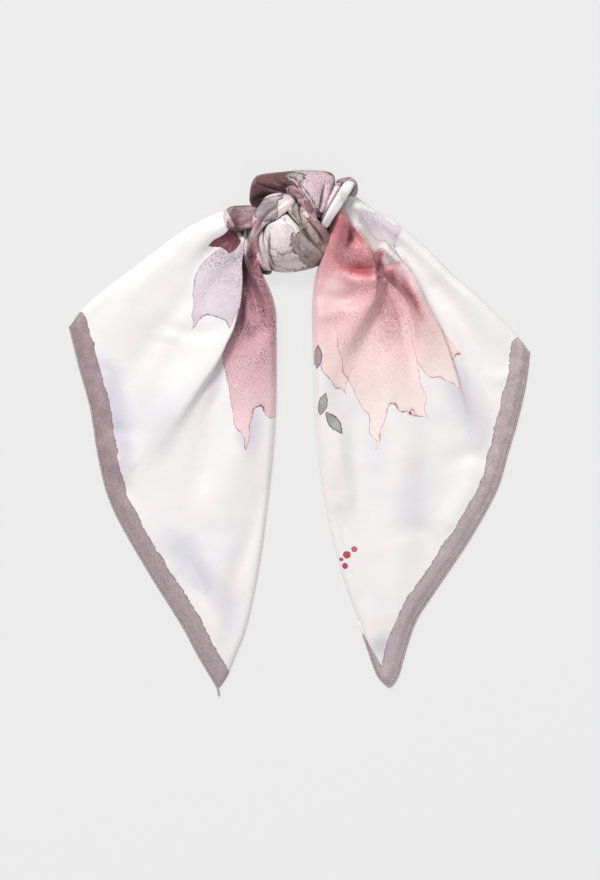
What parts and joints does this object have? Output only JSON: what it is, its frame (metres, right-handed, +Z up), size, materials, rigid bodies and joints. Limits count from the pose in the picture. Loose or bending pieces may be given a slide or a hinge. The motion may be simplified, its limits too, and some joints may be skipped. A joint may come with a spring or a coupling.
{
  "type": "knotted silk square scarf",
  "caption": "Silk square scarf folded in half, tied once in the middle and laid flat, its two pleated tails spread below the knot.",
  "frame": {"origin": "middle of the scarf's bounding box, on the plane it lies on", "axes": "+Z up from the plane the scarf lies on, +Y from the tails' tips towards the knot, +X towards the right-hand tail seen from above"},
  "size_m": [0.4972, 0.5656, 0.0502],
  "materials": {
    "white_silk": "soft satin silk twill",
    "pale_silk": "soft satin silk twill",
    "plum_silk": "soft satin silk twill",
    "mauve_silk": "soft satin silk twill",
    "taupe_silk": "soft satin silk twill",
    "hidden_silk": "soft satin silk twill",
    "printed_silk": "soft satin silk twill",
    "border_silk": "soft satin silk twill"
  },
  "bodies": {
    "root": {"knot_belly": "pale_silk", "knot_core": "hidden_silk", "knot_cross_band": "taupe_silk", "knot_green_fold": "taupe_silk", "knot_left_body": "plum_silk", "knot_left_flap": "plum_silk", "knot_left_wrap": "pale_silk", "knot_pale_fold": "pale_silk", "knot_right_core": "hidden_silk", "knot_right_loop": "mauve_silk", "knot_throat_roll": "plum_silk", "knot_top_loop": "mauve_silk", "knot_white_roll": "white_silk", "left_front": "printed_silk", "left_hem": "border_silk", "left_under": "hidden_silk", "right_front": "printed_silk", "right_hem": "border_silk", "right_under": "hidden_silk"}
  },
  "joints": []
}
